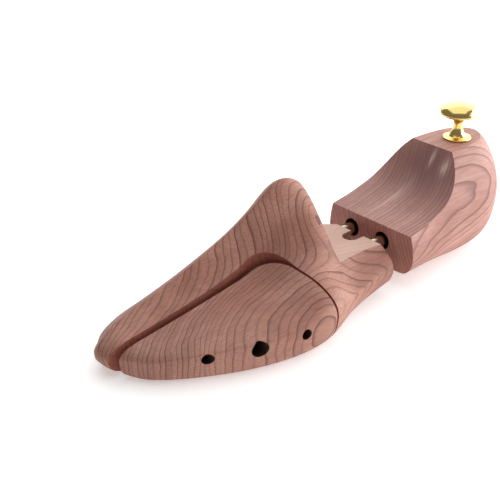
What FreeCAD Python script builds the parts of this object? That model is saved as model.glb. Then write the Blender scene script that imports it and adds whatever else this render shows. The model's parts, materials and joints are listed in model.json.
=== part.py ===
"""Two-piece wooden shoe tree with a split toe, for a left shoe.

Frame: toe towards -X, heel towards +X, lateral (little toe) side at -Y, medial side at +Y,
+Z up, standing on z = 0, with the origin midway between toe tip and heel back.
The wing (the lateral half of the toe) and the heel block are both drawn sprung open.
"""
import FreeCAD
import Part
import math
import os

from FreeCAD import Vector

# ---- driving dimensions, millimetres ------------------------------------------------------
FOREPART_LENGTH = 163.5      # toe tip to the rear face of the tail
BALL_WIDTH = 90.0            # across the ball, with the wing sprung open
CONE_HEIGHT = 69.0           # top of the instep cone above the floor
TAIL_LENGTH = 31.5           # flat shelf behind the cone
SHELF_HEIGHT = 29.2          # top of that shelf above the floor
CONE_LENGTH = 27.0           # from the wing's rear face to the rear face of the cone
NOTCH_WIDTH = 9.6            # finger notch in the shelf's rear edge, between the tubes
NOTCH_DEPTH = 10.0
NOTCH_WALL = 0.7             # wood left between it and the lateral tube
HEEL_TRAVEL = 10.0           # how far the heel block gives towards the toe
HEEL_CLOSED = 0.5            # space then left between the tail and the heel block
HEEL_LENGTH = 101.0          # heel block, front face to back
HEEL_WIDTH = 60.0
HEEL_TOP = 63.0              # flat top of the heel block above the floor
HEEL_FRONT_STEP = 5.0        # low front edge of the saddle above the shelf

WING_TRAVEL = 2.6            # how far the wing gives inwards
SLOT_CLOSED = 1.6            # straight slot that is then still open
SAW_KERF = 1.2               # slot where it runs across, behind the wing
SLOT_LINE = 7.5              # medial wall of the slot, off the centre line
SLOT_BEND = 17.0             # radius where the slot turns towards the lateral side

TUBE_OUTER = 7.0             # diameters from here on
TUBE_WALL = 0.7
TUBE_SPACING = 22.8
TUBE_COVER = 1.1             # wood between the tubes and the shelf above them
TUBE_EMBED = 48.0            # tube length held in the forepart
TUBE_REACH = 8.0             # tube length that stands inside the heel block
BUSH_WALL = 0.55
ROD_EMBED = 32.0             # rod length held in the heel block
BUSH_LENGTH = 6.0
COLLAR_LENGTH = 5.0
TUBE_PLUG_LENGTH = 6.0
CROSS_PIN = 2.0
CROSS_PIN_FOOT = 6.6         # lower end of each cross pin above the floor

SIDE_HOLE_HEIGHT = 15.2      # middle side hole above the floor
SIDE_HOLE_RISE = 1.1         # each side hole above the one in front of it
GUIDE_PIN = 3.6
GUIDE_LIP = 0.7              # how far the pin's head stands out round its shank
GUIDE_HEAD_LENGTH = 2.0
GUIDE_BORE_LENGTH = 12.0     # wood that the pin's shank runs through in the wing
GUIDE_EMBED = 14.0
WING_SPRING_OUTER = 7.2
WING_SPRING_DEPTH = 12.0     # blind hole for the spring in the forepart
WING_PLUG_DEPTH = 15.0       # inner face of the plug, from the wing's slot face
WING_PLUG_LENGTH = 5.0

KNOB_HEAD = 22.6
KNOB_RIM_HEIGHT = 15.9
KNOB_DOME = 5.6
KNOB_NECK = 5.6
KNOB_FOOT = 16.8
KNOB_PLACE = 0.7406          # along the heel block, as a fraction of its length
KNOB_STUD = 4.0
STUD_IN_WOOD = 24.0
STUD_IN_KNOB = 9.0
SUNK = -0.4                  # how far the carved soles bulge below z = 0 before they are sanded

# ---- clearances ---------------------------------------------------------------------------
RUNNING_FIT = 0.05           # radial, for pins and rods that slide
STOP_GAP = 0.1               # between a stop and what it stops
SPRING_AIR = 0.3             # radial, round the springs in the tubes
WING_SPRING_AIR = 0.6        # radial, round the spring in the wing
HEAD_AIR = 0.3               # radial, round the guide pins' heads
TUBE_AIR = 1.75              # radial, round the tubes in the heel block
BORE_AIR = 3.0               # spare depth of a clearance hole beyond the travel

# ---- places that follow from them ---------------------------------------------------------
HEEL_GAP = HEEL_TRAVEL + HEEL_CLOSED
OVERALL_LENGTH = FOREPART_LENGTH + HEEL_GAP + HEEL_LENGTH
TOE_X = -OVERALL_LENGTH / 2
TAIL_X = TOE_X + FOREPART_LENGTH
CONE_X = TAIL_X - TAIL_LENGTH
WING_REAR_X = CONE_X - CONE_LENGTH
WING_LENGTH = WING_REAR_X - TOE_X
HEEL_X = TAIL_X + HEEL_GAP
HEEL_BACK_X = HEEL_X + HEEL_LENGTH
KNOB_X = HEEL_X + KNOB_PLACE * HEEL_LENGTH
WING_FACE_Y = SLOT_LINE - SLOT_CLOSED - WING_TRAVEL
HEEL_FRONT_HEIGHT = SHELF_HEIGHT + HEEL_FRONT_STEP
TUBE_HEIGHT = SHELF_HEIGHT - TUBE_COVER - TUBE_OUTER / 2
TUBE_INNER = TUBE_OUTER - 2 * TUBE_WALL
ROD_DIAMETER = TUBE_INNER - 2 * (BUSH_WALL + RUNNING_FIT)
HEEL_BORE = TUBE_OUTER + 2 * TUBE_AIR
GUIDE_HEAD = GUIDE_PIN + 2 * GUIDE_LIP
COUNTERBORE = GUIDE_HEAD + 2 * HEAD_AIR
SPRING_HOLE = WING_SPRING_OUTER + 2 * WING_SPRING_AIR
NOTCH_LINE = (TUBE_OUTER - TUBE_SPACING + NOTCH_WIDTH) / 2 + NOTCH_WALL
TUBE_SIDES = {"lateral": -TUBE_SPACING / 2, "medial": TUBE_SPACING / 2}
SIDE_HOLES = {               # x and height of each
    "front": (WING_REAR_X - 0.666 * WING_LENGTH, SIDE_HOLE_HEIGHT - SIDE_HOLE_RISE),
    "middle": (WING_REAR_X - 0.444 * WING_LENGTH, SIDE_HOLE_HEIGHT),
    "rear": (WING_REAR_X - 0.206 * WING_LENGTH, SIDE_HOLE_HEIGHT + SIDE_HOLE_RISE),
}
FAR = 400.0


# ---- carved wood ---------------------------------------------------------------------------
def flank(a, swell, reach, delay):
    """Height fraction at width fraction a, from the side wall (0) to the crest (1).

    swell is the share of the height that an elliptic shoulder takes within the fraction
    reach of the width; the rest climbs to the crest, the later the larger the delay is.
    """
    ellipse = math.sqrt(1 - (1 - min(a / reach, 1)) ** 2)
    t = a ** delay
    climb = 0.25 * t + 0.75 * t * t * (3 - 2 * t)
    return swell * ellipse + (1 - swell) * climb


def section(x, sole, sole_round, crest_y, crest, lateral_side, medial_side):
    """Points around one cross-section, from the sole's middle round by the lateral side.

    Each side is a tuple: half width, height of its widest point, swell, reach and delay.
    """
    points = []
    middle = (medial_side[0] - lateral_side[0]) / 2
    for side, shape in ((-1, lateral_side), (1, medial_side)):
        width, wall, swell, reach_in, delay = shape
        half = []
        edge = side * width
        reach = abs(edge - middle)
        corner = min(0.62 * reach, sole_round * (wall - sole))
        half.append((middle + side * 0.5 * (reach - corner), sole))
        half.append((edge - side * corner, sole))
        for turn in (30, 60):
            across = corner * (1 - math.sin(math.radians(turn)))
            down = (wall - sole) * math.cos(math.radians(turn))
            half.append((edge - side * across, wall - down))
        half.append((edge, wall))
        for a in (0.03, 0.12, 0.3, 0.5, 0.68, 0.83, 0.94):
            y = edge + (crest_y - edge) * a
            half.append((y, wall + (crest - wall) * flank(a, swell, reach_in, delay)))
        points.append(half)
    lateral_half, medial_half = points
    ring = [(middle, sole)] + lateral_half + [(crest_y, crest)] + medial_half[::-1]
    return [Vector(x, y, z) for y, z in ring]


def drawn_in(ring, x, size, centre):
    """A copy of a section at x, shrunk towards centre, to close the end of a form."""
    copy = []
    for p in ring:
        y = centre[0] + (p.y - centre[0]) * size
        z = centre[1] + (p.z - centre[1]) * size
        copy.append(Vector(x, y, z))
    return copy


def sharpened(ring):
    """Poles whose smooth curve passes close to the points of the ring."""
    count = len(ring)
    poles = []
    for i, p in enumerate(ring):
        bend = ring[i - 1] + ring[(i + 1) % count] - p * 2
        poles.append(p - bend * (1 / 6))
    return poles


def stiffened(rings):
    """The rings between the first and last, moved so that the skin passes close to them."""
    moved = []
    for before, ring, after in zip(rings, rings[1:], rings[2:]):
        moved.append([p - (a + b - p * 2) * (1 / 6) for a, p, b in zip(before, ring, after)])
    return moved


def carved(rings):
    """Solid with a smooth skin over the rings; the first one may be a single repeated point."""
    rings = rings[:3] + stiffened(rings[2:]) + rings[-1:]
    poles = [sharpened(ring) for ring in rings]
    rows = len(poles)
    columns = len(poles[0])
    skin = Part.BSplineSurface()
    row_mults = [4] + [1] * (rows - 4) + [4]
    row_knots = [float(i) for i in range(rows - 2)]
    ring_mults = [1] * (columns + 1)
    ring_knots = [float(i) for i in range(columns + 1)]
    skin.buildFromPolesMultsKnots(poles, row_mults, ring_mults, row_knots, ring_knots,
                                  False, True, 3, 3)
    face = skin.toShape()
    end_x = rings[-1][0].x
    rims = [e for e in face.Edges if abs(e.BoundBox.XMin - end_x) < 1e-6 and e.Length > 1
            and e.BoundBox.XLength < 1e-6]
    cap = Part.Face(Part.Wire(rims))
    shell = Part.Shell([face, cap])
    shell.sewShape()
    solid = Part.Solid(shell)
    if solid.Volume < 0:
        solid.reverse()
    return solid


def sanded(form):
    """The form with its sole sanded flat where it stands on the floor."""
    return form.cut(box(-FAR, FAR, -FAR, FAR, -FAR, 0))


def forepart_form():
    """The whole forepart, body and wing, with the wing sprung open."""
    half = BALL_WIDTH / 2
    top = CONE_HEIGHT
    # fraction of length, sole, crest offset and height, then for each side
    # its half width, the height of its widest point, swell, reach and delay
    stations = [
        (0.038, 2.5, 0.37, 0.255, (-0.076, 11.0, 0.80, 1.00, 2.0), (0.521, 9.0, 0.60, 1.0, 1.2)),
        (0.070, 1.3, 0.40, 0.285, (0.191, 12.0, 0.60, 0.80, 3.0), (0.659, 8.5, 0.55, 1.0, 1.2)),
        (0.120, 0.5, 0.42, 0.325, (0.382, 14.0, 0.44, 0.60, 5.0), (0.784, 8.0, 0.50, 1.0, 1.2)),
        (0.205, SUNK, 0.43, 0.380, (0.592, 16.0, 0.34, 0.50, 6.0), (0.917, 8.0, 0.44, 1.0, 1.2)),
        (0.320, SUNK, 0.43, 0.460, (0.817, 17.0, 0.345, 0.45, 7.0), (0.975, 8.5, 0.44, 1.0, 1.2)),
        (0.440, SUNK, 0.41, 0.575, (0.965, 17.5, 0.32, 0.45, 7.0), (0.994, 9.5, 0.48, 1.0, 1.2)),
        (0.550, SUNK, 0.37, 0.710, (1.022, 17.5, 0.30, 0.45, 7.0), (0.956, 11.0, 0.53, 1.0, 1.2)),
        (0.640, 0.4, 0.33, 0.865, (1.003, 17.5, 0.35, 0.45, 5.0), (0.898, 13.0, 0.63, 1.0, 1.2)),
        (0.710, 1.5, 0.32, 0.985, (0.917, 17.5, 0.27, 0.50, 2.6), (0.850, 14.5, 0.80, 1.0, 1.2)),
        (0.775, 3.0, 0.30, 0.985, (0.822, 17.5, 0.11, 0.80, 1.3), (0.803, 15.5, 0.92, 1.0, 1.2)),
        (0.840, 4.5, 0.28, 0.880, (0.764, 17.5, 0.10, 1.00, 1.1), (0.717, 16.5, 0.90, 1.0, 1.2)),
        (0.910, 6.5, 0.19, 0.690, (0.717, 17.5, 0.33, 1.00, 1.2), (0.583, 17.0, 0.70, 1.0, 1.2)),
        (1.000, 8.0, 0.02, 0.520, (0.669, 17.5, 0.80, 1.00, 1.2), (0.526, 17.5, 0.55, 1.0, 1.2)),
    ]
    rings = []
    for along, sole, crest_y, crest, lateral_side, medial_side in stations:
        rings.append(section(TOE_X + along * FOREPART_LENGTH, sole, 0.62, crest_y * half,
                             crest * top, (lateral_side[0] * half,) + lateral_side[1:],
                             (medial_side[0] * half,) + medial_side[1:]))
    nose = (0.315 * half, 11.0)
    first = rings[0]
    tip = [Vector(TOE_X, nose[0], nose[1])] * len(first)
    blunt = drawn_in(first, TOE_X, 0.56, nose)
    return sanded(carved([tip, blunt] + rings))


def heel_form():
    """The heel block as carved, before its top, saddle and front are cut."""
    half = HEEL_WIDTH / 2
    top = HEEL_TOP
    # distance from the back as a fraction of the length, sole, height of the widest point,
    # lateral and medial half widths, crest height, lateral swell
    stations = [
        (0.030, 10.0, 33.0, 0.37, 0.38, 0.92, 0.95),
        (0.090, 5.0, 31.5, 0.65, 0.66, 1.02, 0.95),
        (0.180, 1.5, 30.0, 0.86, 0.87, 1.07, 0.96),
        (0.300, SUNK, 28.0, 0.96, 0.97, 1.09, 0.95),
        (0.450, SUNK, 26.0, 1.00, 1.01, 1.10, 0.92),
        (0.600, 1.5, 24.0, 1.02, 1.02, 1.08, 0.92),
        (0.750, 5.5, 22.5, 1.06, 1.00, 1.02, 0.96),
        (0.880, 8.5, 21.5, 1.11, 0.98, 0.95, 1.00),
        (1.000, 10.0, 21.0, 1.15, 0.96, 0.90, 1.00),
    ]
    rings = []
    for along, sole, wall, lateral, medial, crest, swell in stations:
        x = HEEL_BACK_X - along * HEEL_LENGTH
        rings.append(section(x, sole, 0.80, 2.0, crest * top,
                             (lateral * half, wall, swell, 1.0, 1.5),
                             (medial * half, wall, 1.0, 1.0, 1.0)))
    back = (0.0, 0.52 * top)
    first = rings[0]
    tip = [Vector(HEEL_BACK_X, back[0], back[1])] * len(first)
    blunt = drawn_in(first, HEEL_BACK_X, 0.60, back)
    return sanded(carved([tip, blunt] + rings))


# ---- cutting tools --------------------------------------------------------------------------
def box(x0, x1, y0, y1, z0, z1):
    return Part.makeBox(x1 - x0, y1 - y0, z1 - z0, Vector(x0, y0, z0))


def rod_x(x0, x1, y, z, diameter):
    return Part.makeCylinder(diameter / 2, x1 - x0, Vector(x0, y, z), Vector(1, 0, 0))


def rod_y(y0, y1, x, z, diameter):
    return Part.makeCylinder(diameter / 2, y1 - y0, Vector(x, y0, z), Vector(0, 1, 0))


def rod_z(z0, z1, x, y, diameter):
    return Part.makeCylinder(diameter / 2, z1 - z0, Vector(x, y, z0), Vector(0, 0, 1))


def lateral_side(rear_x, line_y):
    """Everything on the lateral side of a saw line: along the toe, round a bend, out sideways."""
    bend_x = rear_x - SLOT_BEND
    bend_y = line_y - SLOT_BEND
    half_turn = math.sqrt(0.5) * SLOT_BEND
    straight = Part.makeLine(Vector(-FAR, line_y, 0), Vector(bend_x, line_y, 0))
    bend = Part.Arc(Vector(bend_x, line_y, 0),
                    Vector(bend_x + half_turn, bend_y + half_turn, 0),
                    Vector(rear_x, bend_y, 0)).toShape()
    out = Part.makeLine(Vector(rear_x, bend_y, 0), Vector(rear_x, -FAR, 0))
    across = Part.makeLine(Vector(rear_x, -FAR, 0), Vector(-FAR, -FAR, 0))
    back = Part.makeLine(Vector(-FAR, -FAR, 0), Vector(-FAR, line_y, 0))
    outline = Part.Wire([straight, bend, out, across, back])
    region = Part.Face(outline).extrude(Vector(0, 0, FAR))
    region.translate(Vector(0, 0, -FAR / 2))
    return region


def saddle_cut():
    """The hollow in front of the heel's flat top, straight across from side to side."""
    top = HEEL_TOP
    front = HEEL_FRONT_HEIGHT
    rise = top - front
    # distance from the front face and height, as fractions of the length and of the rise
    profile = [(-0.020, -0.01), (0.079, 0.04), (0.168, 0.085), (0.257, 0.16), (0.337, 0.25),
               (0.406, 0.405), (0.460, 0.59), (0.505, 0.80), (0.545, 1.005), (0.569, 1.15)]
    points = [Vector(HEEL_X + x * HEEL_LENGTH, 0, front + z * rise) for x, z in profile]
    curve = Part.BSplineCurve()
    curve.interpolate(points)
    lid_z = top + FAR / 4
    up = Part.makeLine(points[-1], Vector(points[-1].x, 0, lid_z))
    over = Part.makeLine(Vector(points[-1].x, 0, lid_z), Vector(points[0].x, 0, lid_z))
    down = Part.makeLine(Vector(points[0].x, 0, lid_z), points[0])
    face = Part.Face(Part.Wire([curve.toShape(), up, over, down]))
    tool = face.extrude(Vector(0, FAR, 0))
    tool.translate(Vector(0, -FAR / 2, 0))
    return tool


# ---- wood -----------------------------------------------------------------------------------
def forepart_body():
    form = forepart_form()
    body = form.cut(lateral_side(WING_REAR_X + SAW_KERF, SLOT_LINE))
    body = body.cut(box(CONE_X, FAR, -FAR, FAR, SHELF_HEIGHT, FAR))
    notch_x = TAIL_X - NOTCH_DEPTH + NOTCH_WIDTH / 2
    body = body.cut(box(notch_x, FAR, NOTCH_LINE - NOTCH_WIDTH / 2, NOTCH_LINE + NOTCH_WIDTH / 2,
                        -FAR, FAR))
    body = body.cut(rod_z(-FAR, FAR, notch_x, NOTCH_LINE, NOTCH_WIDTH))
    for y in TUBE_SIDES.values():
        body = body.cut(rod_x(TAIL_X - TUBE_EMBED, FAR, y, TUBE_HEIGHT, TUBE_OUTER))
        body = body.cut(rod_z(-FAR, TUBE_HEIGHT, tube_pin_x(), y, CROSS_PIN))
    for name in ("front", "rear"):
        x, z = SIDE_HOLES[name]
        body = body.cut(rod_y(SLOT_LINE - 1, SLOT_LINE + GUIDE_EMBED, x, z, GUIDE_PIN))
    x, z = SIDE_HOLES["middle"]
    return body.cut(rod_y(SLOT_LINE - 1, SLOT_LINE + WING_SPRING_DEPTH, x, z, SPRING_HOLE))


def side_wing():
    form = forepart_form()
    wing = form.common(lateral_side(WING_REAR_X, WING_FACE_Y))
    floor_y = WING_FACE_Y - GUIDE_BORE_LENGTH
    for name in ("front", "rear"):
        x, z = SIDE_HOLES[name]
        wing = wing.cut(rod_y(floor_y - 1, FAR, x, z, GUIDE_PIN + 2 * RUNNING_FIT))
        wing = wing.cut(rod_y(-FAR, floor_y, x, z, COUNTERBORE))
    x, z = SIDE_HOLES["middle"]
    return wing.cut(rod_y(-FAR, FAR, x, z, SPRING_HOLE))


def heel_block():
    block = heel_form()
    block = block.cut(box(-FAR, FAR, -FAR, FAR, HEEL_TOP, FAR))
    block = block.cut(saddle_cut())
    bore_end = HEEL_X + TUBE_REACH + HEEL_TRAVEL + BORE_AIR
    for y in TUBE_SIDES.values():
        block = block.cut(rod_x(-FAR, bore_end, y, TUBE_HEIGHT, HEEL_BORE))
        block = block.cut(rod_x(-FAR, bore_end + ROD_EMBED, y, TUBE_HEIGHT, ROD_DIAMETER))
        block = block.cut(rod_z(-FAR, TUBE_HEIGHT + ROD_DIAMETER, rod_pin_x(), y, CROSS_PIN))
    block = block.cut(rod_z(HEEL_TOP - STUD_IN_WOOD, FAR, KNOB_X, 0, KNOB_STUD))
    return block


# ---- tubes, rods and springs ------------------------------------------------------------------
def tube_front_x():
    return TAIL_X - TUBE_EMBED


def tube_rear_x():
    return HEEL_X + TUBE_REACH


def tube_pin_x():
    return tube_front_x() + TUBE_PLUG_LENGTH / 2


def rod_rear_x():
    return tube_rear_x() + HEEL_TRAVEL + BORE_AIR + ROD_EMBED


def rod_front_x():
    return tube_rear_x() - BUSH_LENGTH - STOP_GAP - COLLAR_LENGTH


def rod_pin_x():
    return rod_rear_x() - ROD_EMBED / 3


def outer_tube(y):
    tube = rod_x(tube_front_x(), tube_rear_x(), y, TUBE_HEIGHT, TUBE_OUTER)
    tube = tube.cut(rod_x(tube_front_x() - 1, tube_rear_x() + 1, y, TUBE_HEIGHT, TUBE_INNER))
    return tube.cut(rod_z(0, TUBE_HEIGHT, tube_pin_x(), y, CROSS_PIN))


def tube_plug(y):
    plug = rod_x(tube_front_x(), tube_front_x() + TUBE_PLUG_LENGTH, y, TUBE_HEIGHT, TUBE_INNER)
    return plug.cut(rod_z(0, TUBE_HEIGHT, tube_pin_x(), y, CROSS_PIN))


def tube_bush(y):
    front = tube_rear_x() - BUSH_LENGTH
    bush = rod_x(front, tube_rear_x(), y, TUBE_HEIGHT, TUBE_INNER)
    return bush.cut(rod_x(front - 1, tube_rear_x() + 1, y, TUBE_HEIGHT,
                          ROD_DIAMETER + 2 * RUNNING_FIT))


def inner_rod(y):
    rod = rod_x(rod_front_x(), rod_rear_x(), y, TUBE_HEIGHT, ROD_DIAMETER)
    return rod.cut(rod_z(0, 2 * TUBE_HEIGHT, rod_pin_x(), y, CROSS_PIN))


def rod_collar(y):
    collar = rod_x(rod_front_x(), rod_front_x() + COLLAR_LENGTH, y, TUBE_HEIGHT,
                   TUBE_INNER - 2 * RUNNING_FIT)
    return collar.cut(rod_x(rod_front_x() - 1, rod_rear_x(), y, TUBE_HEIGHT, ROD_DIAMETER))


def coil(length, outer, wire, turns):
    """A helical spring along +Z from the origin, length long over its wire, with open ends."""
    radius = (outer - wire) / 2
    rise = length - wire
    path = Part.Wire(Part.makeHelix(rise / turns, rise, radius))
    ring = Part.Wire(Part.makeCircle(wire / 2, Vector(radius, 0, 0), Vector(0, 1, 0)))
    spring = path.makePipeShell([ring], True, True)
    spring.translate(Vector(0, 0, wire / 2))
    return spring


def tube_spring(y):
    front = tube_front_x() + TUBE_PLUG_LENGTH
    spring = coil(rod_front_x() - front, TUBE_INNER - 2 * SPRING_AIR, 0.7, 16)
    spring.rotate(Vector(0, 0, 0), Vector(0, 1, 0), 90)
    spring.translate(Vector(front, y, TUBE_HEIGHT))
    return spring


def wing_spring():
    x, z = SIDE_HOLES["middle"]
    inner_end = WING_FACE_Y - WING_PLUG_DEPTH
    length = SLOT_LINE + WING_SPRING_DEPTH - inner_end
    spring = coil(length, WING_SPRING_OUTER, 1.0, 9)
    spring.rotate(Vector(0, 0, 0), Vector(1, 0, 0), -90)
    spring.translate(Vector(x, inner_end, z))
    return spring


def wing_spring_plug():
    x, z = SIDE_HOLES["middle"]
    inner_end = WING_FACE_Y - WING_PLUG_DEPTH
    return rod_y(inner_end - WING_PLUG_LENGTH, inner_end, x, z, SPRING_HOLE)


def guide_pin(x, z):
    seat_y = WING_FACE_Y - GUIDE_BORE_LENGTH - STOP_GAP
    shank = rod_y(seat_y, SLOT_LINE + GUIDE_EMBED, x, z, GUIDE_PIN)
    head = rod_y(seat_y - GUIDE_HEAD_LENGTH, seat_y, x, z, GUIDE_HEAD)
    return shank.fuse(head).removeSplitter()


def cross_pins(x, top):
    pins = [rod_z(CROSS_PIN_FOOT, top, x, y, CROSS_PIN) for y in TUBE_SIDES.values()]
    return Part.makeCompound(pins)


# ---- knob -------------------------------------------------------------------------------------
def knob():
    foot = KNOB_FOOT / 2
    neck = KNOB_NECK / 2
    head = KNOB_HEAD / 2
    rim = KNOB_RIM_HEIGHT
    peak = rim + KNOB_DOME
    crown = 0.8 * head
    fall = 0.36 * KNOB_DOME
    crown_radius = (crown ** 2 + fall ** 2) / (2 * fall)
    half_lean = 0.5 * math.asin(crown / crown_radius)
    lip = 1.3

    def at(radius, height):
        return Vector(radius, 0, height)

    def arc(start, middle, end):
        return Part.Arc(start, middle, end).toShape()

    crown_middle = at(crown_radius * math.sin(half_lean),
                      peak - crown_radius * (1 - math.cos(half_lean)))
    shoulder = at(crown + 0.62 * (head - crown), rim + 0.36 * KNOB_DOME)
    edges = [
        Part.makeLine(at(0, 0), at(foot - 0.4, 0)),
        arc(at(foot - 0.4, 0), at(foot, 0.5), at(foot - 0.35, 1.0)),
        Part.makeLine(at(foot - 0.35, 1.0), at(neck + 2.6, 1.6)),
        arc(at(neck + 2.6, 1.6), at(neck + 0.85, 4.2), at(neck, 8.2)),
        arc(at(neck, 8.2), at(neck + 0.25, 10.6), at(neck + 1.3, rim - 3.6)),
        arc(at(neck + 1.3, rim - 3.6), at(0.6 * head, rim - 2.9), at(head - 0.9, rim - lip)),
        arc(at(head - 0.9, rim - lip), at(head - 0.12, rim - 0.75), at(head, rim)),
        arc(at(head, rim), shoulder, at(crown, peak - fall)),
        arc(at(crown, peak - fall), crown_middle, at(0, peak)),
        Part.makeLine(at(0, peak), at(0, 0)),
    ]
    profile = Part.Face(Part.Wire(edges))
    turned = profile.revolve(Vector(0, 0, 0), Vector(0, 0, 1), 360)
    turned.translate(Vector(KNOB_X, 0, HEEL_TOP))
    return turned.cut(rod_z(HEEL_TOP - 1, HEEL_TOP + STUD_IN_KNOB, KNOB_X, 0, KNOB_STUD))


def knob_stud():
    return rod_z(HEEL_TOP - STUD_IN_WOOD, HEEL_TOP + STUD_IN_KNOB, KNOB_X, 0, KNOB_STUD)


# ---- all nodes ----------------------------------------------------------------------------------
def build():
    nodes = {
        "forepart_body": forepart_body(),
        "side_wing": side_wing(),
        "heel_block": heel_block(),
        "wing_spring": wing_spring(),
        "wing_spring_plug": wing_spring_plug(),
        "knob": knob(),
        "knob_stud": knob_stud(),
        "tube_lock_pins": cross_pins(tube_pin_x(), TUBE_HEIGHT),
        "rod_lock_pins": cross_pins(rod_pin_x(), TUBE_HEIGHT + ROD_DIAMETER),
    }
    for name in ("front", "rear"):
        nodes[name + "_guide_pin"] = guide_pin(*SIDE_HOLES[name])
    for side, y in TUBE_SIDES.items():
        nodes[side + "_outer_tube"] = outer_tube(y)
        nodes[side + "_tube_plug"] = tube_plug(y)
        nodes[side + "_tube_bush"] = tube_bush(y)
        nodes[side + "_inner_rod"] = inner_rod(y)
        nodes[side + "_rod_collar"] = rod_collar(y)
        nodes[side + "_tube_spring"] = tube_spring(y)
    return nodes


def main():
    os.makedirs("parts", exist_ok=True)
    for name, shape in build().items():
        if not shape.isValid():
            raise ValueError(name + " is not a valid solid")
        shape.exportStep("parts/" + name + ".step")
        print(name, len(shape.Solids), round(shape.Volume, 1))


main()
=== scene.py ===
"""Finishes, coil springs and studio for a split-toe cedar shoe tree.

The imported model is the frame: toe towards -X, heel towards +X, wing on the -Y side. Sizes in the
settings are metres. Inside the wood's patterns lengths are millimetres, because growth rings and
saw marks are a few of those.
"""

import json
import math

import bpy
from bpy.props import FloatProperty, FloatVectorProperty, IntProperty, PointerProperty
from mathutils import Matrix, Vector


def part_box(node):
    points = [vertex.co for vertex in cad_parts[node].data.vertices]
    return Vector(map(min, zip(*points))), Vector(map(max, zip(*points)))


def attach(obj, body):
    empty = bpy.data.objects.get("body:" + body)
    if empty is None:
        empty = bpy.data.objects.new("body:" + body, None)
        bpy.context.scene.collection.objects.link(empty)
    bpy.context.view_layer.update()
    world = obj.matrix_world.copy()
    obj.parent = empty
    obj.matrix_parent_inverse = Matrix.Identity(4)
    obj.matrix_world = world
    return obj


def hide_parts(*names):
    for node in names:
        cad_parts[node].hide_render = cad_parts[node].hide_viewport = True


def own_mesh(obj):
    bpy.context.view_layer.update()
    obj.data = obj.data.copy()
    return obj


bl_info = {
    "name": "Shoe tree",
    "version": (1, 0, 0),
    "blender": (4, 5, 0),
    "location": "View3D > Sidebar > Shoe tree",
    "description": "Finishes, springs and studio for a split-toe cedar shoe tree",
    "category": "Object",
}

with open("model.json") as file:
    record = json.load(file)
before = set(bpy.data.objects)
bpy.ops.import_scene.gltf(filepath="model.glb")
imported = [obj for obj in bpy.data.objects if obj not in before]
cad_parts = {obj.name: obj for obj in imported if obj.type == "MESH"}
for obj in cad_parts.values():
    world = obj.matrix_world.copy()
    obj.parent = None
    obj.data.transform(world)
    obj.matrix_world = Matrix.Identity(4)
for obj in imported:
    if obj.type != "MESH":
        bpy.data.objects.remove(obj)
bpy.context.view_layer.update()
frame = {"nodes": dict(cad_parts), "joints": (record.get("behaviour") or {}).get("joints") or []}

SIDES = ("lateral", "medial")


def corner(node, end, axis):
    """One coordinate of a CAD node's box, in millimetres: end 0 is its lowest, 1 its highest."""
    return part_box(node)[end][axis] * 1000


# ---- places, in millimetres: boxes come from the frame, the rest are the wood's own sizes -----
SLOT_BEND = 17.0             # radius where the slot turns out sideways
SLOT_LINE = 7.5              # medial wall of the slot
SAW_KERF = 1.2
TAIL_LENGTH = 31.5
TUBE_COVER = 1.1             # wood over the tubes, under the shelf
COUNTERBORE_RADIUS = 2.8
SPRING_HOLE_RADIUS = 4.2
HEEL_BORE_RADIUS = 5.25
HEEL_BORE_DEPTH = 21.0

WING_REAR = corner("side_wing", 1, 0)
WING_FACE = corner("side_wing", 1, 1)
HEEL_FRONT = corner("heel_block", 0, 0)
CONE_REAR = corner("forepart_body", 1, 0) - TAIL_LENGTH
SHELF_TOP = corner("lateral_outer_tube", 1, 2) + TUBE_COVER
PIN_END = corner("front_guide_pin", 1, 1)


def middle(node, axis):
    return (corner(node, 0, axis) + corner(node, 1, axis)) / 2


# centre of each hole, in the plane that it is bored across, and its radius
SIDE_HOLES = [(middle("front_guide_pin", 0), middle("front_guide_pin", 2), COUNTERBORE_RADIUS),
              (middle("wing_spring_plug", 0), middle("wing_spring_plug", 2), SPRING_HOLE_RADIUS),
              (middle("rear_guide_pin", 0), middle("rear_guide_pin", 2), COUNTERBORE_RADIUS)]
HEEL_BORES = [(middle(side + "_outer_tube", 1), middle(side + "_outer_tube", 2),
               HEEL_BORE_RADIUS) for side in SIDES]


# ---- node trees -----------------------------------------------------------------------------
class Value:
    """A socket in a node tree. Arithmetic on it adds Math nodes."""

    def __init__(self, net, socket):
        self.net = net
        self.socket = socket

    def __add__(self, other):
        return self.net.math("ADD", self, other)

    def __radd__(self, other):
        return self.net.math("ADD", other, self)

    def __sub__(self, other):
        return self.net.math("SUBTRACT", self, other)

    def __rsub__(self, other):
        return self.net.math("SUBTRACT", other, self)

    def __mul__(self, other):
        return self.net.math("MULTIPLY", self, other)

    def __rmul__(self, other):
        return self.net.math("MULTIPLY", other, self)

    def __truediv__(self, other):
        return self.net.math("DIVIDE", self, other)

    def __rtruediv__(self, other):
        return self.net.math("DIVIDE", other, self)

    def __neg__(self):
        return self.net.math("MULTIPLY", self, -1.0)

    def __abs__(self):
        return self.net.math("ABSOLUTE", self)


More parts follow.
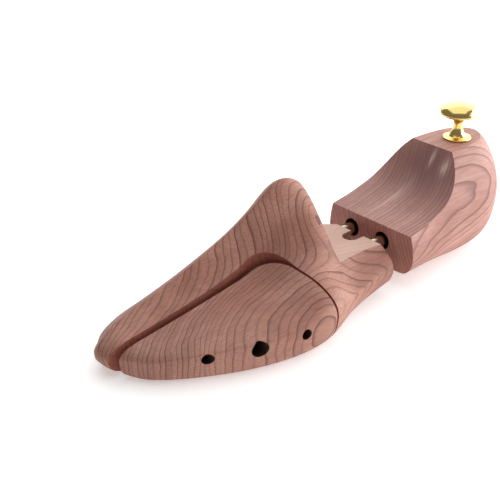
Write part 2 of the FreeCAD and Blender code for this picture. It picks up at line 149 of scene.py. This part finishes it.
class Net:
    """A node tree, with one method that adds any node."""

    def __init__(self, tree):
        self.tree = tree

    def node(self, kind, settings=None, values=None, output=0):
        """Adds a node: its settings first, then a number or a link for each socket."""
        made = self.tree.nodes.new(kind)
        for key, value in (settings or {}).items():
            setattr(made, key, value)
        for key, value in (values or {}).items():
            if isinstance(value, Value):
                self.tree.links.new(value.socket, made.inputs[key])
            else:
                made.inputs[key].default_value = value
        if output is None:
            return None
        return Value(self, made.outputs[output])

    def math(self, operation, *terms):
        return self.node("ShaderNodeMath", {"operation": operation}, dict(enumerate(terms)))

    def vector(self, operation, *terms, output="Vector"):
        return self.node("ShaderNodeVectorMath", {"operation": operation},
                         dict(enumerate(terms)), output)

    def step(self, value, low, high):
        """0 below low, 1 above high, smooth between."""
        return self.node("ShaderNodeMapRange", {"interpolation_type": "SMOOTHSTEP"},
                         {"Value": value, "From Min": low, "From Max": high})

    def stretch(self, value, low, high, to_low, to_high):
        return self.node("ShaderNodeMapRange", None,
                         {"Value": value, "From Min": low, "From Max": high,
                          "To Min": to_low, "To Max": to_high})

    def noise(self, at, size, detail=2.0, roughness=0.5):
        """Soft noise from 0 to 1 over points; size is the three lengths of its blotches."""
        spread = self.vector("DIVIDE", at, size)
        return self.node("ShaderNodeTexNoise", None,
                         {"Vector": spread, "Scale": 1.0, "Detail": detail,
                          "Roughness": roughness})

    def noise_along(self, along):
        return self.node("ShaderNodeTexNoise", {"noise_dimensions": "1D"},
                         {"W": along, "Scale": 1.0, "Detail": 0.0})

    def mix(self, factor, a, b, blend="MIX"):
        return self.node("ShaderNodeMix", {"data_type": "RGBA", "blend_type": blend},
                         {0: factor, 6: a, 7: b}, 2)

    def place(self):
        """The point on the surface, in millimetres, in the frame of the whole tree."""
        at = self.node("ShaderNodeTexCoord", output="Object")
        return self.vector("MULTIPLY", at, (1000.0, 1000.0, 1000.0))

    def split(self, vector):
        made = self.tree.nodes.new("ShaderNodeSeparateXYZ")
        self.tree.links.new(vector.socket, made.inputs[0])
        return [Value(self, socket) for socket in made.outputs]

    def join(self, x, y, z):
        return self.node("ShaderNodeCombineXYZ", None, {0: x, 1: y, 2: z})

    def hill(self, at, centre, reach):
        """1 at centre, falling smoothly to nothing at about twice the reach."""
        away = self.vector("DIVIDE", self.vector("SUBTRACT", at, centre), reach)
        far = self.vector("DOT_PRODUCT", away, away, output="Value")
        return self.math("EXPONENT", -far)

    def nearly(self, value, goal, room):
        """1 where value is within room of goal."""
        return 1.0 - self.step(abs(value - goal), 0.6 * room, room)

    def either(self, *masks):
        most = masks[0]
        for mask in masks[1:]:
            most = self.math("MAXIMUM", most, mask)
        return most

    def finish(self, values, bump=None, edge=None):
        """Ends the tree in one Principled shader. Bump is a height and its depth in metres."""
        normal = None
        if edge:
            normal = self.node("ShaderNodeBevel", {"samples": 4}, {"Radius": edge})
        if bump:
            height, depth = bump
            inputs = {"Height": height, "Distance": depth, "Strength": 1.0}
            if normal:
                inputs["Normal"] = normal
            normal = self.node("ShaderNodeBump", None, inputs)
        if normal:
            values = dict(values, Normal=normal)
        surface = self.node("ShaderNodeBsdfPrincipled", None, values)
        self.node("ShaderNodeOutputMaterial", None, {"Surface": surface}, None)


def new_material(name):
    """An empty material and its net."""
    material = bpy.data.materials.new(name)
    material.use_nodes = True
    material.node_tree.nodes.clear()
    return material, Net(material.node_tree)


def tint(colour, amount=1.0):
    return (colour[0] * amount, colour[1] * amount, colour[2] * amount, 1.0)


def dress(names, material):
    """Gives each of these CAD nodes the material."""
    for name in names:
        slots = frame["nodes"][name].data.materials
        slots.clear()
        slots.append(material)


# ---- cedar ------------------------------------------------------------------------------------
# lengths of the blotches along X, Y and Z: the grain runs along the tree
CLOUD = (38.0, 22.0, 22.0)
FIBRE = (14.0, 0.8, 0.8)
HAIR = (5.0, 0.3, 0.3)
STREAK = (26.0, 1.6, 9.0)
GRAIN_DEPTH = 0.00012        # metres of relief for a height of 1

# places in the saddle, each a centre and how far it reaches
HEARTWOOD = ((84.0, -4.0, 54.0), (26.0, 26.0, 20.0))
LATERAL_KNOT = ((86.0, -12.5, 54.7), (4.5, 2.6, 5.0))
UPPER_KNOT = ((88.0, -2.0, 57.0), (5.0, 1.2, 5.0))
PALE_STREAK = ((62.0, 3.0, 38.5), (13.0, 1.6, 9.0))


def growth(net, rings, seed):
    """Lines of late wood, sharp on their outer edge and soft on the inner, and a tone per ring."""
    rings = rings + 0.9 * net.noise_along(0.31 * rings + seed)
    ring = net.math("FLOOR", rings)
    part = rings - ring
    tone = net.noise_along(3.7 * ring + seed)
    rise = net.step(part, 0.52, 0.95)
    line = rise * rise * (1.0 - net.step(part, 0.955, 1.0))
    return line * net.stretch(tone, 0.25, 0.7, 0.35, 1.0), tone


def cedar(name, wood, colours, rings, cuts, saddle=False):
    """Sanded cedar. rings(net, at) counts growth rings; cuts(net, at) masks worked faces and the
    holes that get painted shade.
    """
    material, net = new_material(name)
    at = net.place()
    line, tone = growth(net, rings(net, at), wood.seed)
    fibre = net.noise(at, FIBRE, 3.0, 0.6)
    hair = net.noise(at, HAIR, 2.0)
    cloud = net.noise(at, CLOUD, 2.0)
    pale, warm, dark = (tint(c) for c in colours)
    colour = net.mix(net.step(cloud, 0.35, 0.65), pale, warm)
    colour = net.mix(net.stretch(tone, 0.3, 0.7, 0.0, 0.25), colour, dark)
    colour = net.mix(net.stretch(fibre, 0.35, 0.7, 0.0, 0.42), colour, dark)
    if saddle:
        colour = heartwood(net, at, colour, fibre, wood)
    colour = net.mix(line * wood.line_strength, colour, dark)
    colour = net.mix(0.3 * net.step(hair, 0.62, 0.74), colour, dark)
    if not saddle:
        x, _, z = net.split(at)
        shelf = net.nearly(z, SHELF_TOP, 0.15) * net.step(x, CONE_REAR, CONE_REAR + 0.1)
        colour = net.mix(0.5 * shelf, colour, tint(wood.sap))
    sawn, marks, hole_shade_and_plug_grain = cuts(net, at)
    colour = net.mix(sawn * net.stretch(marks, 0.35, 0.65, 0.55, 1.0), colour, tint(wood.sawn))
    # painted shade: the holes' walls and insides are coloured nearly black for the shade deep in
    # them
    colour = net.mix(hole_shade_and_plug_grain, colour, tint(wood.hole_shade_and_plug_grain))
    rough = wood.roughness + 0.10 * (fibre - 0.5) + 0.15 * sawn
    height = 0.35 * fibre + 0.25 * hair - 0.5 * line + sawn * marks * 4.0
    net.finish({"Base Color": colour, "Roughness": rough}, (height, GRAIN_DEPTH), wood.edge)
    return material


def heartwood(net, at, colour, fibre, wood):
    """Purple-brown heartwood in the saddle, with pale streaks and knots."""
    face = saddle_face(net)
    streak = net.noise(at, STREAK, 3.0, 0.6)
    deep = net.hill(at, *HEARTWOOD)
    amount = face * net.stretch(deep + 0.5 * (streak - 0.5), 0.1, 0.9, 0.15, 0.9)
    colour = net.mix(amount, colour, tint(wood.heart))
    spots = net.either(net.hill(at, *LATERAL_KNOT), net.hill(at, *UPPER_KNOT),
                       0.8 * net.hill(at, *PALE_STREAK))
    pale = spots * net.stretch(streak, 0.3, 0.6, 0.4, 1.0)
    return net.mix(face * pale, colour, tint(wood.sap))


def ring_count(net, field, change, wide, narrow):
    """Rings passed on the way up the field, each wide below the change and narrow above it."""
    beyond = net.math("MAXIMUM", field - change, 0.0)
    return field / wide + beyond * (1 / narrow - 1 / wide)


def body_rings(net, at):
    """Growth rings of the forepart's body, bent towards the cone's rear edge."""
    x, _, _ = net.split(at)
    field = net.vector("DOT_PRODUCT", at, (-0.15, 0.90, -0.42), output="Value")
    field = field + 5.0 * (net.noise(at, (70.0, 45.0, 45.0), 1.0) - 0.5)
    field = field + 1.2 * (net.noise(at, (16.0, 9.0, 9.0), 1.0) - 0.5)
    field = field - 10.0 * net.hill(at, (-4.0, -6.0, 53.0), (16.0, 16.0, 15.0))
    field = field + 0.42 * net.math("MAXIMUM", x + 8.0, 0.0)
    return ring_count(net, field, -16.0, 3.4, 2.0)


def wing_rings(net, at):
    """Growth rings of the wing: arches over a heart low on its widest part."""
    x, y, z = net.split(at)
    rise = net.math("MAXIMUM", z - 14.0, 0.0)
    away = net.join(0.42 * (x + 42.0), 0.62 * (y + 48.0), 0.36 * rise)
    field = net.vector("LENGTH", away, output="Value")
    field = field + 4.0 * (net.noise(at, (60.0, 40.0, 40.0), 1.0) - 0.5)
    field = field + 1.0 * (net.noise(at, (12.0, 9.0, 9.0), 1.0) - 0.5)
    return ring_count(net, field, 24.0, 2.3, 1.3)


def saw_line(net, x, y, rear, line):
    """Distance from the saw's path along the toe, round the bend and out sideways."""
    across_x = net.math("MAXIMUM", x - (rear - SLOT_BEND), 0.0)
    across_y = net.math("MAXIMUM", y - (line - SLOT_BEND), 0.0)
    away = net.vector("LENGTH", net.join(across_x, across_y, 0.0), output="Value")
    return abs(away - SLOT_BEND)


def forepart_cuts(net, at):
    """Faces left by the saw in the slot, the tooth marks on them, and the side holes that get
    painted shade.
    """
    x, y, z = net.split(at)
    body = saw_line(net, x, y, WING_REAR + SAW_KERF, SLOT_LINE)
    wing = saw_line(net, x, y, WING_REAR, WING_FACE)
    near = net.math("MINIMUM", body, wing)
    sawn = 1.0 - net.step(near, 0.1, 0.25)
    marks = net.noise(net.join(x - y, 0.0, 0.04 * z), (0.55, 1.0, 1.0), 1.0)
    outside = net.step(y, PIN_END + 0.2, PIN_END + 1.0)
    return sawn, marks, (1.0 - outside) * hole_shade_mask(net, x, z, SIDE_HOLES)


def hole_shade_mask(net, across, up, holes):
    """A mask of the holes' walls and of all that lies inside them, where painted shade goes."""
    masks = []
    for hole_across, hole_up, radius in holes:
        out = net.join(across - hole_across, up - hole_up, 0.0)
        out = net.vector("LENGTH", out, output="Value")
        masks.append(1.0 - net.step(out, radius + 0.02, radius + 0.12))
    return net.either(*masks)


def heel_rings(net, at):
    """Growth rings of the heel's own block."""
    field = net.vector("DOT_PRODUCT", at, (0.03, 1.0, -0.36), output="Value")
    field = field + 5.0 * (net.noise(at, (70.0, 34.0, 34.0), 1.0) - 0.5)
    field = field + 1.2 * (net.noise(at, (22.0, 8.0, 8.0), 1.0) - 0.5)
    return field / 2.4


def heel_cuts(net, at):
    """The heel's front face, with its saw marks, and the bores in it, which get painted shade."""
    x, y, z = net.split(at)
    sawn = net.nearly(x, HEEL_FRONT, 0.2)
    marks = net.noise(net.join(0.0, y + 1.5 * z, z - y), (1.0, 6.0, 0.9), 1.0)
    inside = net.step(x, HEEL_FRONT + 0.2, HEEL_FRONT + 1.0)
    bore_end = HEEL_FRONT + HEEL_BORE_DEPTH
    inside = inside * (1.0 - net.step(x, bore_end + 0.5, bore_end + 1.5))
    return 0.3 * sawn, marks, inside * hole_shade_mask(net, y, z, HEEL_BORES)


def saddle_face(net):
    """The hollow in front of the top: it is straight across, so it faces neither side."""
    way = net.node("ShaderNodeNewGeometry", output="True Normal")
    x, y, z = net.split(way)
    straight = 1.0 - net.step(abs(y), 0.01, 0.03)
    return straight * net.step(-x, 0.06, 0.12) * net.step(z, 0.2, 0.3)


# ---- metal and plastic ------------------------------------------------------------------------
def polished(name, colour, roughness, lathe=None, grain=None):
    """Bright metal with faint smears, and turning lines round a centre or scratches along X."""
    material, net = new_material(name)
    at = net.place()
    smear = net.noise(at, (5.0, 5.0, 5.0), 3.0, 0.55)
    if lathe:
        x, y, z = net.split(at)
        out = net.vector("LENGTH", net.join(x - lathe[0], y - lathe[1], 0.0), output="Value")
        lines = net.noise(net.join(out, 0.0, z), (0.18, 1.0, 0.18), 2.0)
    else:
        lines = net.noise(at, grain or (6.0, 0.25, 0.25), 2.0)
    dull = tint(colour, 0.82)
    base = net.mix(net.stretch(smear, 0.3, 0.7, 0.0, 0.5), tint(colour), dull)
    rough = roughness + 0.04 * (smear - 0.4) + 0.03 * (lines - 0.5)
    net.finish({"Base Color": base, "Metallic": 1.0, "Roughness": rough},
               (lines, 0.000004))
    return material


def moulded(name, colour, roughness):
    """Nylon: faintly cloudy, with a fine moulded grain."""
    material, net = new_material(name)
    at = net.place()
    cloud = net.noise(at, (3.0, 3.0, 3.0), 2.0)
    grain = net.noise(at, (0.3, 0.3, 0.3), 1.0)
    base = net.mix(cloud, tint(colour), tint(colour, 0.85))
    net.finish({"Base Color": base, "Roughness": roughness + 0.1 * (grain - 0.5)},
               (grain, 0.00002))
    return material


def dowel(name, colours):
    """Pale wooden plug, with its end grain towards the wing's side."""
    material, net = new_material(name)
    at = net.place()
    x, _, z = net.split(at)
    rings = net.vector("LENGTH", net.join(x + 88.0, 0.0, z - 9.0), output="Value") / 1.1
    line, tone = growth(net, rings, 4.0)
    pores = net.noise(at, (0.3, 3.0, 0.3), 2.0)
    pale, warm, dark = (tint(c) for c in colours)
    base = net.mix(tone, pale, warm)
    base = net.mix(0.6 * line + 0.4 * net.step(pores, 0.55, 0.7), base, dark)
    net.finish({"Base Color": base, "Roughness": 0.7 + 0.1 * (pores - 0.5)},
               (pores, 0.00005))
    return material


# ---- springs ----------------------------------------------------------------------------------
POINTS_PER_TURN = 28
POINTS_ROUND_WIRE = 10


def spring_tree():
    """Geometry nodes: a compression spring along +Z from the origin, with closed end coils."""
    tree = bpy.data.node_groups.new("compression_spring", "GeometryNodeTree")
    kinds = (("Length", "NodeSocketFloat"), ("Coil diameter", "NodeSocketFloat"),
             ("Wire diameter", "NodeSocketFloat"), ("Turns", "NodeSocketFloat"),
             ("Points", "NodeSocketInt"), ("Material", "NodeSocketMaterial"))
    for name, kind in kinds:
        tree.interface.new_socket(name=name, in_out="INPUT", socket_type=kind)
    tree.interface.new_socket(name="Geometry", in_out="OUTPUT",
                              socket_type="NodeSocketGeometry")
    net = Net(tree)
    entry = tree.nodes.new("NodeGroupInput")
    given = {name: Value(net, entry.outputs[name]) for name, _ in kinds}
    wire = given["Wire diameter"]
    radius = (given["Coil diameter"] - wire) / 2.0
    climb = given["Length"] - 3.0 * wire
    path = net.node("GeometryNodeCurveSpiral", None,
                    {"Resolution": given["Points"], "Rotations": given["Turns"],
                     "Start Radius": radius, "End Radius": radius, "Height": climb})
    along = net.node("GeometryNodeSplineParameter", output="Factor")
    dead = 1.0 / given["Turns"]
    low = net.stretch(along, 0.0, dead, 0.0, wire)
    middle = net.stretch(along, dead, 1.0 - dead, 0.0, climb)
    high = net.stretch(along, 1.0 - dead, 1.0, 0.0, wire)
    spot = net.node("GeometryNodeInputPosition")
    x, y, _ = net.split(spot)
    moved = net.join(x, y, low + middle + high + wire / 2.0)
    path = net.node("GeometryNodeSetPosition", None, {"Geometry": path, "Position": moved})
    circle = net.node("GeometryNodeCurvePrimitiveCircle", None,
                      {"Resolution": POINTS_ROUND_WIRE, "Radius": wire / 2.0})
    swept = net.node("GeometryNodeCurveToMesh", None,
                     {"Curve": path, "Profile Curve": circle, "Fill Caps": True})
    real = net.node("GeometryNodeRealizeInstances", None, {"Geometry": swept})
    done = net.node("GeometryNodeSetMaterial", None,
                    {"Geometry": real, "Material": given["Material"]})
    net.node("NodeGroupOutput", None, {"Geometry": done}, None)
    return tree


def wound(name, tree, sizes, placing):
    """One spring as a plain mesh, made by the tree and set in its place."""
    maker = bpy.data.objects.new(name + "_maker", bpy.data.meshes.new(name + "_maker"))
    bpy.context.scene.collection.objects.link(maker)
    modifier = maker.modifiers.new("spring", "NODES")
    modifier.node_group = tree
    for item in tree.interface.items_tree:
        if item.item_type == "SOCKET" and item.in_out == "INPUT":
            modifier[item.identifier] = sizes[item.name]
    bpy.context.view_layer.update()
    ready = maker.evaluated_get(bpy.context.evaluated_depsgraph_get())
    mesh = bpy.data.meshes.new_from_object(ready)
    bpy.data.objects.remove(maker)
    mesh.transform(placing)
    mesh.name = name
    for face in mesh.polygons:
        face.use_smooth = True
    spring = bpy.data.objects.new(name, mesh)
    bpy.context.scene.collection.objects.link(spring)
    if not mesh.polygons:
        raise RuntimeError(name + " came out empty")
    return spring


# ---- settings ---------------------------------------------------------------------------------
def colour_of(name, description, default):
    return FloatVectorProperty(name=name, description=description, subtype="COLOR", size=3,
                               min=0.0, max=1.0, default=default)


class SHOETREE_PG_wood(bpy.types.PropertyGroup):
    """Cedar of the forepart, the wing and the heel block."""

    pale: colour_of("Forepart pale", "Early wood of the forepart", (0.560, 0.275, 0.200))
    warm: colour_of("Forepart warm", "Browner clouds in the forepart", (0.450, 0.195, 0.135))
    dark: colour_of("Forepart lines", "Late wood of the forepart", (0.150, 0.048, 0.034))
    heel_pale: colour_of("Heel pale", "Early wood of the heel block", (0.650, 0.345, 0.278))
    heel_warm: colour_of("Heel warm", "Redder clouds in the heel block", (0.530, 0.255, 0.198))
    heel_dark: colour_of("Heel lines", "Late wood of the heel block", (0.225, 0.085, 0.070))
    heart: colour_of("Heartwood", "Purple-brown wood in the saddle", (0.235, 0.110, 0.105))
    sap: colour_of("Sapwood", "Pale streaks and knots", (0.72, 0.52, 0.42))
    sawn: colour_of("Sawn faces", "Wood darkened by the saw", (0.330, 0.080, 0.048))
    # Painted shade: a near-black colour for the hole walls and bore insides, standing in for the
    # shade deep in them; the plug's dark grain reuses it.
    hole_shade_and_plug_grain: colour_of("Bored holes", "Walls darkened by the drill", (0.035, 0.014, 0.009))
    line_strength: FloatProperty(name="Line strength", min=0.0, max=1.0, default=0.95,
                                 description="How dark the growth lines are", subtype="FACTOR")
    roughness: FloatProperty(name="Roughness", min=0.0, max=1.0, default=0.60,
                             description="Of the sanded surface", subtype="FACTOR")
    edge: FloatProperty(name="Eased edges", min=0.0, max=0.003, default=0.0005,
                        description="Radius that sharp edges are sanded to", unit="LENGTH")
    seed: FloatProperty(name="Ring pattern", description="Which ring widths are drawn",
                        default=2.7)


class SHOETREE_PG_metal(bpy.types.PropertyGroup):
    """Knob, tubes, rods, pins and bushes."""

    brass: colour_of("Brass", "Turned and polished knob", (0.90, 0.66, 0.24))
    nickel: colour_of("Nickel", "Plating of the tubes", (0.54, 0.46, 0.35))
    steel: colour_of("Steel", "Rods, collars, pins and stud", (0.60, 0.59, 0.57))
    blued: colour_of("Blued steel", "Guide pins and cross pins", (0.05, 0.05, 0.055))
    nylon: colour_of("Nylon", "Bushes in the tubes' ends", (0.78, 0.76, 0.70))
    brass_roughness: FloatProperty(name="Brass roughness", min=0.0, max=1.0, default=0.20,
                                   description="Of the polished knob", subtype="FACTOR")
    nickel_roughness: FloatProperty(name="Nickel roughness", min=0.0, max=1.0, default=0.16,
                                    description="Of the plating", subtype="FACTOR")


class SHOETREE_PG_springs(bpy.types.PropertyGroup):
    """The two springs in the tubes and the one in the wing."""

    tube_wire: FloatProperty(name="Tube spring wire", description="Its diameter",
                             default=0.0007, min=0.0003, max=0.002, unit="LENGTH")
    tube_turns: IntProperty(name="Tube spring turns", description="End coils included",
                            default=18, min=6, max=40)
    wing_wire: FloatProperty(name="Wing spring wire", description="Its diameter",
                             default=0.0010, min=0.0003, max=0.002, unit="LENGTH")
    wing_turns: IntProperty(name="Wing spring turns", description="End coils included",
                            default=11, min=5, max=30)
    steel: colour_of("Spring steel", "Drawn wire", (0.42, 0.41, 0.40))


class SHOETREE_PG_studio(bpy.types.PropertyGroup):
    """Floor, light and camera."""

    sky: FloatProperty(name="Surround", description="Strength of the light from all round",
                       default=0.20, min=0.0, max=5.0)
    key: FloatProperty(name="Side light", description="Power of the low light at the heel end",
                       default=23.0, min=0.0, max=500.0)
    back: FloatProperty(name="Back light", description="Power of the light behind",
                        default=10.5, min=0.0, max=500.0)
    top: FloatProperty(name="Top light", description="Power of the light overhead",
                       default=8.5, min=0.0, max=500.0)
    glow: FloatProperty(name="Floor glow", description="Light that the floor gives by itself",
                        default=0.42, min=0.0, max=5.0)
    floor: colour_of("Floor", "Colour of the floor", (0.93, 0.93, 0.93))
    lens: FloatProperty(name="Lens", description="Focal length for a 36 mm wide picture",
                        default=77.76, min=10.0, max=300.0)


# ---- operators --------------------------------------------------------------------------------
class SHOETREE_OT_forepart(bpy.types.Operator):
    """Finish the forepart's body and its side wing in cedar, sawn from one block"""

    bl_idname = "shoetree.forepart"
    bl_label = "Forepart and wing"

    def execute(self, context):
        wood = context.scene.shoetree_wood
        colours = (wood.pale, wood.warm, wood.dark)
        dress(("forepart_body",), cedar("body_cedar", wood, colours, body_rings, forepart_cuts))
        dress(("side_wing",), cedar("wing_cedar", wood, colours, wing_rings, forepart_cuts))
        return {"FINISHED"}


class SHOETREE_OT_heel(bpy.types.Operator):
    """Finish the heel block in cedar"""

    bl_idname = "shoetree.heel"
    bl_label = "Heel block"

    def execute(self, context):
        wood = context.scene.shoetree_wood
        material = cedar("heel_cedar", wood, (wood.heel_pale, wood.heel_warm, wood.heel_dark),
                         heel_rings, heel_cuts, saddle=True)
        dress(("heel_block",), material)
        return {"FINISHED"}


class SHOETREE_OT_knob(bpy.types.Operator):
    """Polish the brass knob and finish its stud"""

    bl_idname = "shoetree.knob"
    bl_label = "Knob"

    def execute(self, context):
        metal = context.scene.shoetree_metal
        low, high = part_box("knob")
        centre = (500.0 * (low.x + high.x), 500.0 * (low.y + high.y))
        dress(("knob",), polished("polished_brass", metal.brass, metal.brass_roughness, centre))
        dress(("knob_stud",), polished("stud_steel", metal.steel, 0.3, centre))
        return {"FINISHED"}


class SHOETREE_OT_tubes(bpy.types.Operator):
    """Plate the two tubes and finish the bushes and plugs in their ends"""

    bl_idname = "shoetree.tubes"
    bl_label = "Tubes"

    def execute(self, context):
        metal = context.scene.shoetree_metal
        plated = polished("nickel_plate", metal.nickel, metal.nickel_roughness)
        nylon = moulded("nylon", metal.nylon, 0.45)
        plain = polished("plug_steel", metal.steel, 0.35)
        dress([side + "_outer_tube" for side in SIDES], plated)
        dress([side + "_tube_bush" for side in SIDES], nylon)
        dress([side + "_tube_plug" for side in SIDES], plain)
        return {"FINISHED"}


class SHOETREE_OT_rods(bpy.types.Operator):
    """Finish the rods in the tubes, their collars and all the pins"""

    bl_idname = "shoetree.rods"
    bl_label = "Rods and pins"

    def execute(self, context):
        metal = context.scene.shoetree_metal
        rods = polished("rod_steel", metal.steel, 0.25)
        pins = polished("pin_steel", metal.blued, 0.45, grain=(0.25, 4.0, 0.25))
        dress([side + "_inner_rod" for side in SIDES], rods)
        dress([side + "_rod_collar" for side in SIDES], rods)
        dress(("tube_lock_pins", "rod_lock_pins", "front_guide_pin", "rear_guide_pin"), pins)
        wood = context.scene.shoetree_wood
        # the plug's dark grain lines reuse the near-black colour painted as shade in the holes
        plug = dowel("dowel_wood", (wood.warm, wood.dark, wood.hole_shade_and_plug_grain))
        dress(("wing_spring_plug",), plug)
        return {"FINISHED"}


class SHOETREE_OT_springs(bpy.types.Operator):
    """Wind the springs in the tubes and in the wing, in place of their plain CAD shapes"""

    bl_idname = "shoetree.springs"
    bl_label = "Springs"

    def execute(self, context):
        sizes = context.scene.shoetree_springs
        tree = spring_tree()
        steel = polished("spring_steel", sizes.steel, 0.3)
        for side in SIDES:
            low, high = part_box(side + "_tube_spring")
            self.wind(side + "_coil", side + "_tube_spring", tree, steel, low, high,
                      (sizes.tube_wire, sizes.tube_turns), 0)
            spring = bpy.data.objects[side + "_coil"]
            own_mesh(spring)
        low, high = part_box("wing_spring")
        self.wind("wing_coil", "wing_spring", tree, steel, low, high,
                  (sizes.wing_wire, sizes.wing_turns), 1)
        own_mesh(bpy.data.objects["wing_coil"])
        return {"FINISHED"}

    @staticmethod
    def travel(joint):
        """How far the joint goes from rest."""
        found = [j for j in frame["joints"] if j["name"] == joint]
        return found[0]["range_m"][1]

    @staticmethod
    def wind(name, node, tree, material, low, high, wire_and_turns, axis):
        """One spring along the axis, 0 for X and 1 for Y, between the corners low and high."""
        wire, turns = wire_and_turns
        middle = (low + high) / 2
        length = high[axis] - low[axis]
        across = high[2] - low[2]
        start = middle.copy()
        start[axis] = low[axis]
        turned = Matrix.Rotation(math.pi / 2, 4, "Y") if axis == 0 \
            else Matrix.Rotation(-math.pi / 2, 4, "X")
        given = {"Length": length, "Coil diameter": across, "Wire diameter": wire,
                 "Turns": float(turns), "Points": POINTS_PER_TURN * turns,
                 "Material": material}
        spring = wound(name, tree, given, Matrix.Translation(start) @ turned)
        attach(spring, "forepart")
        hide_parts(node)


# the setting with each light's power, its place, its width and height, and the point it faces
LIGHTS = {
    "side_light": ("key", (1.15, -0.52, 0.40), (1.7, 0.75), (0.05, 0.0, 0.03)),
    "back_light": ("back", (0.80, 0.90, 0.62), (1.7, 1.0), (0.05, 0.0, 0.03)),
    "top_light": ("top", (0.10, 0.10, 1.15), (1.6, 1.6), (0.0, 0.0, 0.0)),
}
CAMERA_PLACE = (-0.3740, -0.3638, 0.2978)
CAMERA_AIM = (0.5885, 0.6636, -0.4619)
FLOOR_HALF = 6.0             # half the floor's side


class SHOETREE_OT_studio(bpy.types.Operator):
    """Lay the pale floor, set the soft lights and stand the camera"""

    bl_idname = "shoetree.studio"
    bl_label = "Studio"

    def execute(self, context):
        studio = context.scene.shoetree_studio
        self.floor(studio)
        self.surround(studio)
        for name, (power, spot, size, target) in LIGHTS.items():
            self.light(name, getattr(studio, power), spot, size, target)
        self.camera(context, studio)
        context.scene.view_settings.view_transform = "Standard"
        return {"FINISHED"}

    @staticmethod
    def floor(studio):
        mesh = bpy.data.meshes.new("floor")
        corners = ((-1, -1), (1, -1), (1, 1), (-1, 1))
        mesh.from_pydata([(x * FLOOR_HALF, y * FLOOR_HALF, 0) for x, y in corners],
                         [], [(0, 1, 2, 3)])
        floor = bpy.data.objects.new("floor", mesh)
        bpy.context.scene.collection.objects.link(floor)
        material, net = new_material("floor_paper")
        grain = net.noise(net.place(), (40.0, 40.0, 40.0), 2.0)
        base = net.mix(grain, tint(studio.floor), tint(studio.floor, 0.985))
        net.finish({"Base Color": base, "Roughness": 0.8,
                    "Emission Color": tint(studio.floor), "Emission Strength": studio.glow})
        mesh.materials.append(material)

    @staticmethod
    def surround(studio):
        world = bpy.data.worlds.new("surround")
        world.use_nodes = True
        world.node_tree.nodes.clear()
        net = Net(world.node_tree)
        seen = net.node("ShaderNodeLightPath", output="Is Camera Ray")
        strength = studio.sky + (1.0 - studio.sky) * seen
        glow = net.node("ShaderNodeBackground", None,
                        {"Color": (1.0, 1.0, 1.0, 1.0), "Strength": strength})
        net.node("ShaderNodeOutputWorld", None, {"Surface": glow}, None)
        bpy.context.scene.world = world

    @staticmethod
    def light(name, power, spot, size, target):
        data = bpy.data.lights.new(name, "AREA")
        data.shape = "RECTANGLE"
        data.size, data.size_y = size
        data.energy = power
        lamp = bpy.data.objects.new(name, data)
        lamp.location = spot
        aim = Vector(target) - Vector(spot)
        lamp.rotation_euler = aim.to_track_quat("-Z", "Y").to_euler()
        bpy.context.scene.collection.objects.link(lamp)

    @staticmethod
    def camera(context, studio):
        data = bpy.data.cameras.new("camera")
        data.sensor_width = 36.0
        data.lens = studio.lens
        camera = bpy.data.objects.new("camera", data)
        camera.location = CAMERA_PLACE
        camera.rotation_euler = Vector(CAMERA_AIM).to_track_quat("-Z", "Y").to_euler()
        context.scene.collection.objects.link(camera)
        context.scene.camera = camera


OPERATORS = (SHOETREE_OT_forepart, SHOETREE_OT_heel, SHOETREE_OT_knob, SHOETREE_OT_tubes,
             SHOETREE_OT_rods, SHOETREE_OT_springs, SHOETREE_OT_studio)
GROUPS = {"shoetree_wood": SHOETREE_PG_wood, "shoetree_metal": SHOETREE_PG_metal,
          "shoetree_springs": SHOETREE_PG_springs, "shoetree_studio": SHOETREE_PG_studio}


class SHOETREE_PT_pieces(bpy.types.Panel):
    """Buttons for the pieces and the stage, and their settings"""

    bl_idname = "SHOETREE_PT_pieces"
    bl_label = "Shoe tree"
    bl_space_type = "VIEW_3D"
    bl_region_type = "UI"
    bl_category = "Shoe tree"

    def draw(self, context):
        layout = self.layout
        for operator in OPERATORS:
            layout.operator(operator.bl_idname)
        for name, group in GROUPS.items():
            box = layout.box()
            for key in group.__annotations__:
                box.prop(getattr(context.scene, name), key)


def register():
    for group in GROUPS.values():
        bpy.utils.register_class(group)
    for name, group in GROUPS.items():
        setattr(bpy.types.Scene, name, PointerProperty(type=group))
    for operator in OPERATORS:
        bpy.utils.register_class(operator)
    bpy.utils.register_class(SHOETREE_PT_pieces)


def unregister():
    bpy.utils.unregister_class(SHOETREE_PT_pieces)
    for operator in reversed(OPERATORS):
        bpy.utils.unregister_class(operator)
    for name, group in GROUPS.items():
        delattr(bpy.types.Scene, name)
        bpy.utils.unregister_class(group)


def main():
    register()
    bpy.ops.shoetree.forepart()
    bpy.ops.shoetree.heel()
    bpy.ops.shoetree.knob()
    bpy.ops.shoetree.tubes()
    bpy.ops.shoetree.rods()
    bpy.ops.shoetree.springs()
    bpy.ops.shoetree.studio()


if __name__ == "__main__":
    main()
